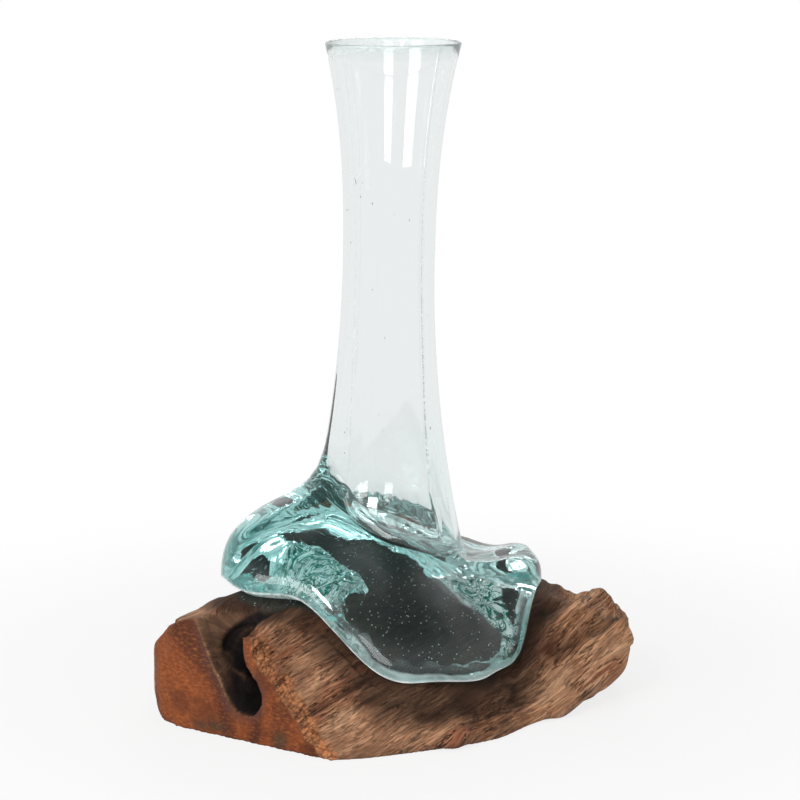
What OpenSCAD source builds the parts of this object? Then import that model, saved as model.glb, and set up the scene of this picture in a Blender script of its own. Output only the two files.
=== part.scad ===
// A blown glass vase whose foot was dropped, still soft, over a block of teak root.
// The vase lifts straight up off the root, and its underside fits the top of the root.
// Azimuths are counted anticlockwise from +X, seen from above. The front of the vase faces -Y.

/* [Neck] */
// Height of the rim above the table
rim_h = 300; // [285:1:325]
// Outside diameter of the mouth
mouth_d = 62; // [56:1:70]
// Outside diameter of the neck at its waist
waist_d = 42; // [38:1:46]
// Height of the waist above the table
waist_h = 202; // [190:1:215]
// Outside diameter of the neck where it runs into the foot
collar_d = 54.5; // [50:0.5:58]
// Height of the collar above the table, at its highest
collar_h = 118; // [112:1:124]
// Glass wall of the neck
wall_t = 2.4; // [1.8:0.1:3]
// Lean of the neck to the right, in degrees
lean = 1.25; // [0:0.05:2.5]

/* [Foot] */
// Longest reach of the glass foot from the axis of the vase
foot_reach = 93; // [86:1:98]
// Height of the rolled edge of the foot
edge_t = 12; // [10:0.5:14]
// How far the foot swells above its edge
swell_h = 34; // [28:1:38]
// Height at which the tip of the foot hangs clear of the root
tip_lift = 4; // [2:0.5:6]
// Height of the floor inside the vase, at its middle
floor_h = 73; // [71:1:80]
// Fall of the floor inside the vase towards the right, in degrees
floor_fall = 19; // [15:1:22]
// Radius between the wall and the floor inside the vase
floor_r = 5; // [4:0.5:8]
// Gap between the glass and the wood under it
seat_gap = 0.5; // [0.4:0.1:0.8]

/* [Root] */
// Height of the top of the root, a little behind its sawn end
crest_h = 57; // [54:1:60]
// Distance from the axis of the vase to the sawn end
saw_d = 107; // [104:1:110]
// Azimuth that is straight away from the sawn end
saw_az = 57.5; // [55:0.5:60]
// Length of the root along its grain
root_len = 206; // [202:1:212]
// Azimuth of the grain, from the sawn end towards the far end
grain_az = 53; // [50:1:56]
// Longest reach of the root from the axis of the vase
root_reach = 119; // [115:1:124]
// Reach of the front slope across the grain, at the middle of the root
front_w = 90; // [86:1:94]
// Reach of the back slope across the grain, at the middle of the root
back_w = 98; // [94:1:106]
// Height of the ridges that run along the grain
ridge_h = 1.2; // [0:0.1:2]
// How far the branch beside the sawn end stands up beyond the glass
branch_h = 7; // [4:0.5:9]
// Depth of the natural hollow behind the sawn end
hollow_depth = 48; // [30:1:52]

/* [Hidden] */

// Meridians of both skins, and the rings along each stretch of them
meridians = 60;
under_rings = 9;
edge_rings = 4;
foot_rings = 13;
neck_rings = 17;
lip_rings = 4;
bore_rings = 14;
floor_rings = 6;
apron_rings = 8;
wall_rings = 6;

function mix(a, b, t) = a + (b - a) * t;
function ease(t) = let (u = min(max(t, 0), 1)) u * u * (3 - 2 * u);
function azimuth(i) = 360 * i / meridians;

// A cubic through four even points, from the second to the third
function cubic(a, b, c, d, f) =
    b + (c - a) / 2 * f + (a - 5 / 2 * b + 2 * c - d / 2) * f * f + (b * 3 - a - c * 3 + d) / 2 * f * f * f;

// Even shares read as a smooth ring round the axis, and as a smooth line
function round_share(shares, az) =
    let (n = len(shares), u = az / 360 * n, i = floor(u), f = u - i)
    cubic(shares[(i + n - 1) % n], shares[i % n], shares[(i + 1) % n], shares[(i + 2) % n], f);
function line_share(shares, along) =
    let (n = len(shares) - 1, u = min(max(along, 0), 1) * n, i = min(floor(u), n - 1), f = u - i)
    cubic(shares[max(i - 1, 0)], shares[i], shares[i + 1], shares[min(i + 2, n)], f);

function bezier(a, b, c, d, t) =
    a * pow(1 - t, 3) + b * 3 * t * pow(1 - t, 2) + c * 3 * t * t * (1 - t) + d * t * t * t;

// The lesser of two heights, with the crease between them rounded off
crease_r = 14;
function soft_min(a, b) =
    let (h = max(crease_r - abs(a - b), 0) / crease_r) min(a, b) - h * h * crease_r / 4;

// Places on the root are counted along the grain from the sawn end, and across it to the front
function grain_s(az, r) = root_len / 2 + r * cos(az - grain_az);
function grain_q(az, r) = r * sin(grain_az - az);

// Nine even stations along the grain, from the sawn end to the far end
crest_shares = [0.85, 0.99, 1.00, 1.00, 0.98, 0.96, 0.92, 0.82, 0.68];
front_shares = [0.57, 0.79, 0.96, 1.04, 1.08, 1.48, 1.68, 1.40, 1.20];
back_shares = [0.96, 0.98, 0.98, 1.00, 0.99, 0.96, 0.92, 0.86, 0.80];
front_slope = 1.15;
back_slope = 0.94;
far_slope = 1.15;
far_share = 0.97;
crown_share = 0.08;

// Height of the top of the root, smooth as it is under the glass
function root_form(az, r) =
    let (
        q = grain_q(az, r),
        along = grain_s(az, r) / root_len,
        crest = crest_h * (line_share(crest_shares, along) - crown_share * pow(q / crest_h, 2)),
        front = (front_w * line_share(front_shares, along) - q) * front_slope,
        back = (back_w * line_share(back_shares, along) + q) * back_slope,
        far = root_len * (far_share - along) * far_slope
    )
    soft_min(soft_min(crest, front), soft_min(back, far));

// Ridges wander along the grain. They start at the edge of the glass, as the rise of the branch
// does, and grow to the front
ridge_pitch = 23;
wander_r = 7;
branch_az = 223;
branch_angle = 15;
function ridges(az, r) =
    let (
        q = grain_q(az, r),
        path = q + wander_r * sin(360 * grain_s(az, r) / root_len),
        growth = ease((r - reach_r(az)) / ridge_pitch),
        branch = branch_h * ease(1 - abs(az - branch_az) / branch_angle)
    )
    growth * (branch + ridge_h * (1 + ease(q / ridge_pitch - 1)) * sin(360 * path / ridge_pitch));

least_h = 3;
function root_top(az, r) = max(root_form(az, r) + ridges(az, r), least_h);

// Outline of the root, and of the face that it stands on, every 15 degrees
outline_shares = [
    0.93, 0.87, 0.80, 0.72, 0.66, 0.62, 0.62, 0.62, 0.64, 0.68, 0.73, 0.79,
    0.85, 0.93, 0.99, 0.99, 0.99, 0.99, 0.90, 0.85, 0.83, 0.78, 0.87, 0.98
];
stand_shares = [
    0.84, 0.80, 0.75, 0.69, 0.63, 0.58, 0.57, 0.58, 0.59, 0.65, 0.70, 0.77,
    0.84, 0.92, 0.99, 0.99, 0.99, 0.99, 0.90, 0.83, 0.82, 0.77, 0.75, 0.82
];
function to_saw(az) =
    let (facing = -cos(az - saw_az)) facing > 0.1 ? saw_d / facing : root_len;
function outline_r(az) = min(root_reach * round_share(outline_shares, az), to_saw(az));
function stand_r(az) = min(root_reach * round_share(stand_shares, az), to_saw(az));

function top_point(az, r) = [r * cos(az), r * sin(az), root_top(az, r)];
function wall_point(az, t) =
    let (r = mix(outline_r(az), stand_r(az), pow(1 - t, 3)))
    [r * cos(az), r * sin(az), top_point(az, outline_r(az)).z * t];

// Edge of the glass foot every 15 degrees
reach_shares = [
    0.75, 0.71, 0.65, 0.60, 0.57, 0.55, 0.55, 0.56, 0.58, 0.60, 0.63, 0.68,
    0.74, 0.82, 0.93, 0.96, 0.90, 0.93, 0.97, 0.93, 0.90, 0.84, 0.81, 0.79
];
function reach_r(az) = foot_reach * round_share(reach_shares, az);
function seat_r(az) = reach_r(az) - edge_t / 3;

// Every 30 degrees: how high the collar is, how far the foot dips under it, and how far it
// swells towards its edge. Every 15 degrees: how far the edge hangs clear of the root.
collar_shares = [0.55, 0.61, 0.76, 0.85, 0.92, 0.97, 1.00, 0.93, 0.81, 0.73, 0.67, 0.60];
dip_shares = [1.60, 1.20, 0.80, 0.60, 0.58, 0.56, 0.60, 0.58, 0.42, 0.36, 0.45, 0.85];
swell_shares = [0.75, 0.45, 0.45, 0.55, 0.75, 1.00, 1.70, 1.10, 0.80, 0.95, 0.90, 0.75];
lift_shares = [0, 0, 0, 0, 0, 0, 0, 0, 0, 0, 0, 0, 0.3, 0.8, 1, 0.6, 0.2, 0, 0, 0, 0, 0, 0, 0];

// The underside of the foot, which has its rings at shares of the way to the edge of its seat
function seat_share(k) = let (t = k / under_rings) 1 - pow(1 - t, 1.5);
function under_h(az, r) =
    max(root_form(az, r), least_h) + seat_gap
        + tip_lift * round_share(lift_shares, az) * pow(r / reach_r(az), 4);

// The neck narrows to its waist and flares to the mouth, round a line that leans
plumb_share = 0.58;
function neck_r(z) =
    z < waist_h
        ? mix(waist_d, collar_d, pow((waist_h - z) / (waist_h - collar_h), 2)) / 2
        : mix(waist_d, mouth_d, pow((z - waist_h) / (rim_h - waist_h), 2.4)) / 2;
function neck_x(z) = (z - rim_h * plumb_share) * tan(lean);
function neck_point(az, r, z) = [neck_x(z) + r * cos(az), r * sin(az), z];

// The foot runs down from the collar to the top of its rolled edge
function collar_z(az) = collar_h * round_share(collar_shares, az);
function edge_z(az) = under_h(az, reach_r(az)) + edge_t / 2;
function foot_point(az, t) =
    let (
        top = collar_z(az),
        low = edge_z(az),
        r = neck_r(top),
        reach = reach_r(az),
        dip = (top - low) * round_share(dip_shares, az),
        radius = bezier(r, neck_r(top - dip), reach, reach, t),
        height = bezier(top, top - dip, low + swell_h * round_share(swell_shares, az), low, t)
    )
    [neck_x(top) * (1 - t) + radius * cos(az), radius * sin(az), height];

// The edge rolls under from the foot to the seat
function edge_point(az, t) =
    let (r = mix(seat_r(az), reach_r(az), sin(90 * t)))
    [r * cos(az), r * sin(az), under_h(az, r) + edge_t / 2 * (1 - cos(90 * t))];

// The wall inside the vase ends in a round corner above a floor that falls to the right
function bore_r(z) = neck_r(z) - wall_t;
function floor_z(x) = floor_h - x * tan(floor_fall);
function heel_z(az) = floor_z(bore_r(floor_h) * cos(az)) + floor_r;
function floor_point(az, t) =
    let (
        heel = heel_z(az),
        r = bore_r(heel),
        turn = min(t * 2, 1),
        radius = t < 0.5 ? r - floor_r * (1 - cos(90 * turn)) : (r - floor_r) * (2 - 2 * t),
        x = radius * cos(az)
    )
    [neck_x(heel) + x, radius * sin(az), t < 0.5 ? heel - floor_r * sin(90 * turn) : floor_z(x)];

// A closed skin through rings of points, from one pole to the other. Its cells are split in
// two, and inward says that the rings run inwards where the two skins lie on each other, so
// that both are split along the same lines there.
module skin(first, rings, last, inward) {
    points = concat([first], [for (ring = rings) each ring], [last]);
    final = len(points) - 1;
    function at(k, i) = 1 + k * meridians + i % meridians;
    faces = concat(
        [for (i = [0:meridians - 1]) [0, at(0, i), at(0, i + 1)]],
        [for (k = [0:len(rings) - 2], i = [0:meridians - 1])
            let (a = at(k, i), b = at(k + 1, i), c = at(k + 1, i + 1), d = at(k, i + 1))
            each inward ? [[a, b, d], [b, c, d]] : [[a, b, c], [a, c, d]]],
        [for (i = [0:meridians - 1]) [final, at(len(rings) - 1, i + 1), at(len(rings) - 1, i)]]
    );
    polyhedron(points, faces, convexity = 10);
}
function round_ring(point) = [for (i = [0:meridians - 1]) point(azimuth(i))];

module glass_vase() {
    lip_r = wall_t / 2;
    lip_z = rim_h - lip_r;
    rings = concat(
        [for (k = [1:under_rings]) round_ring(function (az)
            let (r = seat_r(az) * seat_share(k)) [r * cos(az), r * sin(az), under_h(az, r)])],
        [for (k = [1:edge_rings]) round_ring(function (az) edge_point(az, k / edge_rings))],
        [for (k = [1:foot_rings]) round_ring(function (az) foot_point(az, 1 - k / foot_rings))],
        [for (k = [1:neck_rings]) round_ring(function (az)
            let (z = mix(collar_z(az), lip_z, k / neck_rings)) neck_point(az, neck_r(z), z))],
        [for (k = [1:lip_rings]) round_ring(function (az)
            let (turn = 180 * k / lip_rings)
            neck_point(az, neck_r(lip_z) - lip_r * (1 - cos(turn)), lip_z + lip_r * sin(turn)))],
        [for (k = [1:bore_rings]) round_ring(function (az)
            let (z = mix(lip_z, heel_z(az), k / bore_rings)) neck_point(az, bore_r(z), z))],
        [for (k = [1:floor_rings - 1]) round_ring(function (az) floor_point(az, k / floor_rings))]
    );
    color([0.75, 0.92, 0.89, 0.6])
    skin([0, 0, under_h(0, 0)], rings, floor_point(0, 1), inward = false);
}

// The hollow, as spheres on paths from the sawn end inwards. Each is given by shares: across
// the sawn end, behind it, its height and its radius, all of the crest but the second, which
// is of the depth of the hollow.
crevice_shares = [
    [-0.36, 0.13, 1.08, 0.28], [-0.33, 0.10, 0.86, 0.20], [-0.29, 0.09, 0.68, 0.17],
    [-0.22, 0.09, 0.53, 0.15], [-0.11, 0.09, 0.37, 0.17]
];
pocket_shares = [[-0.11, 0.09, 0.37, 0.17], [0.00, 0.48, 0.43, 0.17], [0.07, 1.00, 0.54, 0.09]];
shelf_shares = [[-0.29, 0.09, 0.68, 0.17], [-0.22, 0.35, 0.62, 0.17], [-0.07, 0.48, 0.48, 0.17]];

module hollow(path_shares) {
    module ball(share)
        rotate(saw_az)
        translate([hollow_depth * share[1] - saw_d, -crest_h * share[0], crest_h * share[2]])
        sphere(crest_h * share[3], $fn = 20);
    for (k = [1:len(path_shares) - 1])
        hull() {
            ball(path_shares[k - 1]);
            ball(path_shares[k]);
        }
}

module teak_root() {
    rings = concat(
        [for (k = [0:wall_rings - 1]) round_ring(function (az) wall_point(az, k / wall_rings))],
        [for (k = [0:apron_rings - 1]) round_ring(function (az)
            top_point(az, mix(outline_r(az), seat_r(az), k / apron_rings)))],
        [for (k = [0:under_rings - 1]) round_ring(function (az)
            top_point(az, seat_r(az) * seat_share(under_rings - k)))]
    );
    color([0.52, 0.34, 0.22])
    difference() {
        skin([0, 0, 0], rings, top_point(0, 0), inward = true);
        hollow(crevice_shares);
        hollow(pocket_shares);
        hollow(shelf_shares);
    }
}

teak_root();
glass_vase();
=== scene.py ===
import math
from itertools import product
from types import SimpleNamespace
import bpy
import numpy as np
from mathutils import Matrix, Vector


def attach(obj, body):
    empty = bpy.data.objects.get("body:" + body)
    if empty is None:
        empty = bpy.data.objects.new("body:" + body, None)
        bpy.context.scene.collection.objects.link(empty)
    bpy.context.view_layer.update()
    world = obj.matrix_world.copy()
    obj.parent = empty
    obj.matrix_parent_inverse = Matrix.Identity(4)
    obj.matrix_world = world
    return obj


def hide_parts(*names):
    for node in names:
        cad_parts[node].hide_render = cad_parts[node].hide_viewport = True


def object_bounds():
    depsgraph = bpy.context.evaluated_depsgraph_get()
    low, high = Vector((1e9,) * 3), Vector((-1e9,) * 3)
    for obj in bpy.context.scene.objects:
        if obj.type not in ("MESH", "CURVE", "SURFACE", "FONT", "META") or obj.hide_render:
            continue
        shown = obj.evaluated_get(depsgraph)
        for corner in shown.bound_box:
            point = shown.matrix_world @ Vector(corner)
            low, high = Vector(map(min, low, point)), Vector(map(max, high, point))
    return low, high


# A blown glass vase draped over a block of teak root. Shapes are worked out in millimetres
# and azimuths in degrees from +X; meshes are stored in metres.
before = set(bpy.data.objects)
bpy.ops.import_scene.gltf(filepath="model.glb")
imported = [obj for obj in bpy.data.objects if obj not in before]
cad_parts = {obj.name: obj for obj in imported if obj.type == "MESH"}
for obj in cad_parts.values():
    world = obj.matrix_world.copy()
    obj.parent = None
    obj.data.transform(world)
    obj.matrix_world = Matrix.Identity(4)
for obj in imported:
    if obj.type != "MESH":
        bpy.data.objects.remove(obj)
cadBox = [list(corner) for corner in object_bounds()]
mm = 0.001
print("frame loaded:", sorted(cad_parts))


# Numbers

def mix(a, b, t):
    return a + (b - a) * t


def ease(t):  # from 0 to 1, smooth at both ends
    u = np.clip(t, 0, 1)
    return u * u * (3 - 2 * u)


def fade(value, start, full):  # 0 at start, 1 at full, smooth between
    return ease((value - start) / (full - start))


def sind(a):
    return np.sin(np.radians(a))


def cosd(a):
    return np.cos(np.radians(a))


def cubic(a, b, c, d, f):  # through four even points, from the second to the third
    bend = a - 2.5 * b + 2 * c - d / 2
    twist = 1.5 * b - a / 2 - 1.5 * c + d / 2
    return b + (c - a) / 2 * f + bend * f * f + twist * f ** 3


def ringShare(shares, az):
    n = len(shares)
    u = np.asarray(az, float) / 360 * n
    i = np.floor(u).astype(int)
    s = np.array(shares)
    return cubic(s[(i - 1) % n], s[i % n], s[(i + 1) % n], s[(i + 2) % n], u - i)


def lineShare(shares, along):
    n = len(shares) - 1
    u = np.clip(along, 0, 1) * n
    i = np.minimum(np.floor(u).astype(int), n - 1)
    s = np.array(shares)
    return cubic(s[np.maximum(i - 1, 0)], s[i], s[i + 1], s[np.minimum(i + 2, n)], u - i)


def bezier(a, b, c, d, t):
    return a * (1 - t) ** 3 + 3 * b * t * (1 - t) ** 2 + 3 * c * t * t * (1 - t) + d * t ** 3


def softMin(a, b, crease):
    h = np.maximum(crease - np.abs(a - b), 0) / crease
    return np.minimum(a, b) - h * h * crease / 4


def cornerValue(corner, seed):  # from -1 to 1, the same for the same corner of the grid
    mask = 0x7FFFFFFF
    h = (corner[:, 0] * 73856093) ^ (corner[:, 1] * 19349663) ^ (corner[:, 2] * 83492791)
    h = (h ^ seed) & mask
    h = (h * 1103515245 + 12345) & mask
    h = ((h >> 8) ^ h) * 69069 & mask
    return ((h >> 7) & 0xFFFF) / 32767.5 - 1


def lumps(points, cell, seed, octaves=1, gain=0.5):  # smooth noise from -1 to 1, cell is its size
    p = np.asarray(points, float) / cell
    total = np.zeros(len(p))
    size = 0.0
    for octave in range(octaves):
        q = p * 2 ** octave + 17.3 * octave
        low = np.floor(q).astype(np.int64)
        f = q - low
        f = f * f * f * (f * (f * 6 - 15) + 10)
        value = np.zeros(len(p))
        for step in product((0, 1), repeat=3):
            weight = np.prod(np.where(step, f, 1 - f), axis=1)
            value += cornerValue(low + step, seed * 2654435 + octave * 977) * weight
        total += value * gain ** octave
        size += gain ** octave
    return total / size


def shifted(points, reach, cells, seed):  # points moved about by one noise along each axis
    return points + reach * np.stack([lumps(points, cell, seed + k) for k, cell in enumerate(cells)], -1)


def creases(points, cell, seed, sharp=6):  # thin lines where the noise crosses zero
    return (1 - np.abs(lumps(points, cell, seed, 2))) ** sharp


# The form that the glass and the wood share

rootForm = SimpleNamespace(
    length=206, grainAz=53, crest=57, crown=0.08, crease=14, least=3,
    front=90, back=98, frontSlope=1.15, backSlope=0.94, farSlope=1.15, farShare=0.97,
    crestShares=[0.85, 0.99, 1.00, 1.00, 0.98, 0.96, 0.92, 0.82, 0.68],
    frontShares=[0.57, 0.79, 0.96, 1.04, 1.08, 1.48, 1.68, 1.40, 1.20],
    backShares=[0.96, 0.98, 0.98, 1.00, 0.99, 0.96, 0.92, 0.86, 0.80],
    sawAz=57.5, sawDistance=107,
)
glass = SimpleNamespace(
    rim=300, mouth=62, waist=42, waistHeight=202, collar=54.5, collarHeight=118,
    wall=2.4, lean=1.25, plumb=0.58, reach=93, edge=12, swell=34, tipLift=4,
    floor=73, floorFall=19, floorRound=5, gap=0.5, frontSlim=4.6, roll=5.2, rollFrom=0.9,
    reachShares=[0.75, 0.71, 0.65, 0.60, 0.57, 0.55, 0.55, 0.56, 0.58, 0.60, 0.63, 0.68,
                    0.74, 0.82, 0.93, 0.96, 0.90, 0.93, 0.97, 0.93, 0.90, 0.84, 0.81, 0.79],
    collarShares=[0.55, 0.61, 0.76, 0.85, 0.92, 0.97, 1.00, 0.93, 0.81, 0.73, 0.67, 0.60],
    dipShares=[1.60, 1.20, 0.80, 0.60, 0.58, 0.56, 0.60, 0.58, 0.42, 0.36, 0.45, 0.85],
    swellShares=[0.75, 0.45, 0.45, 0.55, 0.75, 1.00, 1.70, 1.10, 0.80, 0.95, 0.90, 0.75],
    liftShares=[0] * 12 + [0.3, 0.8, 1, 0.6, 0.2] + [0] * 7,
    # the darkness is a dark teal film painted along each line: painted shade
    drawLines=[(226, 0.22, 0.16), (317, 0.45, 0.6), (134, 0.15, 0.1)],  # azimuth, depth, darkness
    around=320, underRings=84, underCrowd=1.25, edgeRings=14, footRings=84,
    neckRings=40, lipRings=8, boreRings=34, floorRings=14,
)


def rootHeight(az, r):
    f = rootForm
    q = r * sind(f.grainAz - az)
    along = 0.5 + r * cosd(az - f.grainAz) / f.length
    crest = f.crest * (lineShare(f.crestShares, along) - f.crown * (q / f.crest) ** 2)
    front = (f.front * lineShare(f.frontShares, along) - q) * f.frontSlope
    back = (f.back * lineShare(f.backShares, along) + q) * f.backSlope
    far = f.length * (f.farShare - along) * f.farSlope
    c = f.crease
    return np.maximum(softMin(softMin(crest, front, c), softMin(back, far, c), c), f.least)


def glassReach(az):
    return glass.reach * ringShare(glass.reachShares, az)


def glassUnder(az, r):
    lift = glass.tipLift * ringShare(glass.liftShares, az) * (r / glassReach(az)) ** 4
    return rootHeight(az, r) + glass.gap + lift


def footRoll(az, r):  # how far the rim of the foot curls up from the wood
    share = np.clip((r / glassReach(az) - glass.rollFrom) / (1 - glass.rollFrom), 0, 1)
    return glass.roll * share ** 1.3


def neckRadius(z):
    g = glass
    below = np.maximum(g.waistHeight - z, 0) / (g.waistHeight - g.collarHeight)
    above = np.maximum(z - g.waistHeight, 0) / (g.rim - g.waistHeight)
    low = mix(g.waist, g.collar, below ** 2)
    high = mix(g.waist, g.mouth, above ** 2.4)
    return np.where(z < g.waistHeight, low, high) / 2


def neckLean(z):
    return (z - glass.rim * glass.plumb) * math.tan(math.radians(glass.lean))


def polar(az, r, z, shift=0.0):
    return np.stack(np.broadcast_arrays(shift + r * cosd(az), r * sind(az), z), -1)


def azimuthOf(points):
    return np.degrees(np.arctan2(points[:, 1], points[:, 0])) % 360


def farOf(points):
    return np.hypot(points[:, 0], points[:, 1])


# Meshes

def linked(name, data):
    thing = bpy.data.objects.new(name, data)
    bpy.context.scene.collection.objects.link(thing)
    return thing


def makeMesh(name, points, faces, smooth=True):
    mesh = bpy.data.meshes.new(name)
    mesh.from_pydata((np.asarray(points) * mm).tolist(), [], faces)
    mesh.validate()
    mesh.polygons.foreach_set("use_smooth", [smooth] * len(mesh.polygons))
    return linked(name, mesh)


def store(mesh, name, values):
    values = np.asarray(values, np.float32)
    flat = values.ndim == 1
    layer = mesh.attributes.new(name, "FLOAT" if flat else "FLOAT_VECTOR", "POINT")
    layer.data.foreach_set("value" if flat else "vector", values.ravel())


def readPoints(mesh, what="co"):
    flat = np.zeros(len(mesh.vertices) * 3, np.float32)
    mesh.vertices.foreach_get(what, flat)
    return flat.reshape(-1, 3).astype(float)


def writePoints(mesh, points):
    mesh.vertices.foreach_set("co", (points * mm).astype(np.float32).ravel())
    mesh.update()


def evaluated(thing):
    bpy.context.view_layer.update()
    graph = bpy.context.evaluated_depsgraph_get()
    return bpy.data.meshes.new_from_object(thing.evaluated_get(graph))


def ringFaces(rings, around):  # quads between rings, with a fan at each pole
    ids = np.arange(rings * around).reshape(rings, around) + 1
    turned = np.roll(ids, -1, axis=1)
    quads = np.stack([ids[:-1], turned[:-1], turned[1:], ids[1:]], -1).reshape(-1, 4).tolist()
    last = rings * around + 1
    first = np.stack([np.zeros(around, int), turned[0], ids[0]], -1).tolist()
    end = np.stack([np.full(around, last), ids[-1], turned[-1]], -1).tolist()
    return first + quads + end


def makeGlass():  # kinds: 0 underside, 1 edge, 2 top of the foot, 3 neck, 4 lip, 5 bore, 6 floor
    g = glass
    az = np.arange(g.around) * 360 / g.around
    rings, kinds = [], []

    def add(points, kind):
        rings.append(points)
        kinds.append(np.full(g.around, float(kind)))

    seat = glassReach(az) - g.edge / 3
    for k in range(1, g.underRings + 1):
        r = seat * (1 - (1 - k / g.underRings) ** g.underCrowd)
        add(polar(az, r, glassUnder(az, r) + footRoll(az, r)), 0)
    for k in range(1, g.edgeRings + 1):
        t = k / g.edgeRings
        r = mix(seat, glassReach(az), math.sin(math.pi / 2 * t))
        low = glassUnder(az, r) + footRoll(az, r)
        rimHeight = glassUnder(az, r) + g.edge / 2
        add(polar(az, r, mix(low, rimHeight, 1 - math.cos(math.pi / 2 * t))), 1)
    top = g.collarHeight * ringShare(g.collarShares, az)
    low = glassUnder(az, glassReach(az)) + g.edge / 2
    dip = (top - low) * ringShare(g.dipShares, az)
    for k in range(1, g.footRings + 1):
        t = 1 - k / g.footRings
        r = bezier(neckRadius(top), neckRadius(top - dip), glassReach(az), glassReach(az), t)
        z = bezier(top, top - dip, low + g.swell * ringShare(g.swellShares, az), low, t)
        add(polar(az, r, z, neckLean(top) * (1 - t)), 2)
    lipRadius = g.wall / 2
    lip = g.rim - lipRadius
    for k in range(1, g.neckRings + 1):
        z = mix(top, lip, k / g.neckRings)
        add(polar(az, neckRadius(z), z, neckLean(z)), 3)
    for k in range(1, g.lipRings + 1):
        turn = math.pi * k / g.lipRings
        r = neckRadius(lip) - lipRadius * (1 - math.cos(turn))
        z = lip + lipRadius * math.sin(turn)
        add(polar(az, r, z, neckLean(z)), 4)

    def floorAt(x):
        return g.floor - x * math.tan(math.radians(g.floorFall))

    heel = floorAt((neckRadius(np.array(float(g.floor))) - g.wall) * cosd(az)) + g.floorRound
    for k in range(1, g.boreRings + 1):
        z = mix(lip, heel, k / g.boreRings)
        add(polar(az, neckRadius(z) - g.wall, z, neckLean(z)), 5)
    bore = neckRadius(heel) - g.wall
    for k in range(1, g.floorRings):
        t = k / g.floorRings
        if t < 0.5:
            r = bore - g.floorRound * (1 - math.cos(math.pi * t))
            z = heel - g.floorRound * math.sin(math.pi * t)
        else:
            r = (bore - g.floorRound) * (2 - 2 * t)
            z = floorAt(r * cosd(az))
        add(polar(az, r, z, neckLean(heel)), 6)

    body = np.concatenate(rings)
    kind = np.concatenate(kinds)
    points = np.concatenate([[[0, 0, glassUnder(0.0, 0.0)]], body, [[neckLean(g.floor), 0, g.floor]]])
    kind = np.concatenate([[0.0], kind, [6.0]])
    faces = ringFaces(len(rings), g.around)
    thing = makeMesh("vaseGlass", points, faces)
    return thing, points, kind


melt = SimpleNamespace(  # what melting did to the foot: heights and cells in mm, azimuths in degrees
    frontAz=262, frontFrom=0.3, frontTo=0.8, slimTop=160, slimOver=60,
    footTop=118, footFull=73, swell=1.1, swellCell=21, ripple=0.2, rippleCell=8,
    calm=0.45, fold=0.4, foldTurn=95, pleat=1.8, pleatCell=5.5,
    rib=2.8, vein=1.2, reliefCell=9, crumple=3.2, crumpleCell=7, grit=1.6,
    # streakSheen, crumpleFilm and lipSheen are shares of a pale film that paints reflection on the glass
    gritCell=3.2, plain=0.12, roomShare=0.5, streakSheen=0.9, crumpleFilm=0.85, lipSheen=0.35,
    # drawnShadeWidth is the width of the shade painted along the drawn lines
    lineWidth=1.7, drawnShadeWidth=0.9, neckTint=0.4, floorTint=0.6,
)


def slimNeck(points, kind, front):  # the front of the low neck is drawn in
    m, height, r = melt, points[:, 2], farOf(points)
    slim = front * np.clip((m.slimTop - height) / m.slimOver, 0, 1) ** 1.2
    slim *= fade(height, 80, 100) * (kind > 1) * fade(r, 40, 32) * glass.frontSlim
    points[:, :2] *= (1 - slim / np.maximum(r, 1))[:, None]


def footSwell(points, kind, front, az, r, share):  # waves, the folded web at the left, pleats behind
    m = melt
    foot = fade(points[:, 2], m.footTop, m.footFull) * mix(1, fade(r, 28, 38), front)
    foot = np.where(kind == 2, foot, np.where(kind == 1, 0.5, 0))
    flow = np.stack([points[:, 0] + 6 * lumps(points, 30, 5), points[:, 1], points[:, 2] * 0.6], -1)
    lively = mix(m.calm, 1, np.maximum(fade(az, 225, 195), fade(cosd(az), 0.3, 0.7)))
    swell = m.swell * lively * lumps(flow, m.swellCell, 11, 2)
    swell += m.ripple * lumps(flow, m.rippleCell, 12)
    web = fade(az, 240, 210) * fade(az, 150, 175) * fade(share, 0.28, 0.38) * fade(share, 0.7, 0.45)
    fold = m.fold * web * sind(r * m.foldTurn + 50 * lumps(points, 18, 13))
    behind = fade(az, 30, 55) * fade(az, 185, 160) * fade(share, 0.62, 0.82)
    across = np.stack([az * 0.8, share * 24, points[:, 2] * 0.4], -1)
    pleats = m.pleat * behind * np.abs(lumps(across, m.pleatCell, 14, 2))
    return (swell + fold + pleats) * foot


def crumpleShare(points):  # 1 where the underside crumpled most
    depth = np.full(len(points), -99.0)
    for outline in crumpleOutlines:
        depth = np.maximum(depth, insideBy(points, outline))
    return mix(melt.plain, 1, fade(depth + 4 * lumps(points, 9, 29, 2), -5, 2))


def undersideRise(points, flowAz, r, crumple):  # the silvery relief under the glass
    m = melt
    ribs = np.stack([flowAz * 0.8, r * 0.24, points[:, 2] * 0.2], -1)
    warp = shifted(points, 3, (12, 12, 12), 21)
    rise = m.rib * np.abs(lumps(ribs, m.reliefCell, 25, 2))
    rise += m.vein * np.abs(lumps(warp, m.reliefCell, 26))
    rise += crumple * m.crumple * np.abs(lumps(warp, m.crumpleCell, 24, 2))
    return rise + crumple * m.grit * np.abs(lumps(warp, m.gritCell, 28))


def drawnLines(az, part, width):  # upright lines left where the neck was drawn out
    return sum(line[part] * np.exp(-((az - line[0]) / width) ** 2) for line in glass.drawLines)


def rimSheen(points, az, share, leftSide):  # the pale band along the rim of the foot, a painted reflection of the white surroundings
    wander = lumps(points, 7, 34, 2)
    wide = mix(0.032, 0.008, leftSide) + mix(0.01, 0.022, leftSide) * wander
    rim = ease((share - glass.rollFrom - wide) / 0.012) * (0.8 + 0.4 * lumps(points, 4, 35, 2))
    return rim * mix(0.25, 1, fade(az, 205, 225) * fade(az, 318, 302))


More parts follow.
